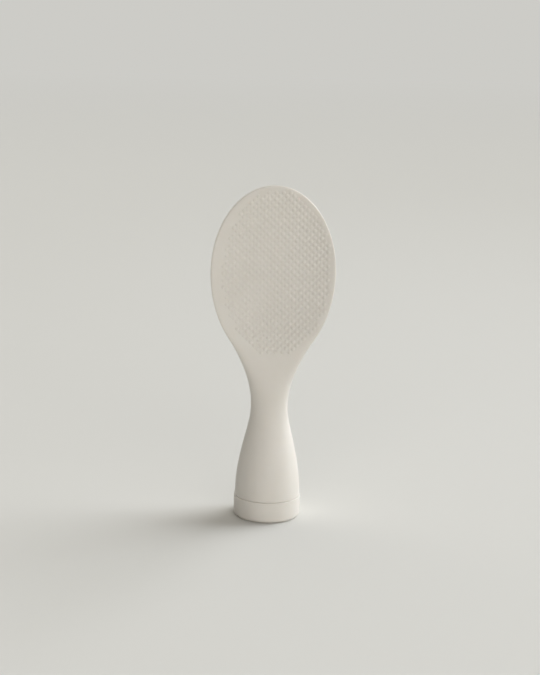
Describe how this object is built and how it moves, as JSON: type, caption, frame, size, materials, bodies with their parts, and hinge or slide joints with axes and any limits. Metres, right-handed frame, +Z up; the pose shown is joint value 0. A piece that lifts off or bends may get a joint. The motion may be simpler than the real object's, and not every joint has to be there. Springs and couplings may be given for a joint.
{
  "type": "rice paddle",
  "caption": "Self-standing rice paddle: an oval dished blade flows through a slim neck into a flared round handle, closed below by a weighted round base cap.",
  "frame": {"origin": "on the floor, in the middle of the round foot on the handle's axis", "axes": "+Z up along the handle to the tip of the blade, -Y the way the dished face looks, +X to the right of someone looking at that face"},
  "size_m": [0.0688, 0.0374, 0.188],
  "materials": {
    "body_plastic": "fine satin-matte polypropylene, warm off-white, raised dots on both faces of the blade",
    "cap_plastic": "fine satin-matte polypropylene, warm off-white",
    "steel": "turned, bare",
    "seal_rubber": "smooth pale grey"
  },
  "bodies": {
    "root": {"paddle_body": "body_plastic", "base_cap": "cap_plastic", "ballast_weight": "steel", "seal_ring": "seal_rubber"}
  },
  "joints": []
}
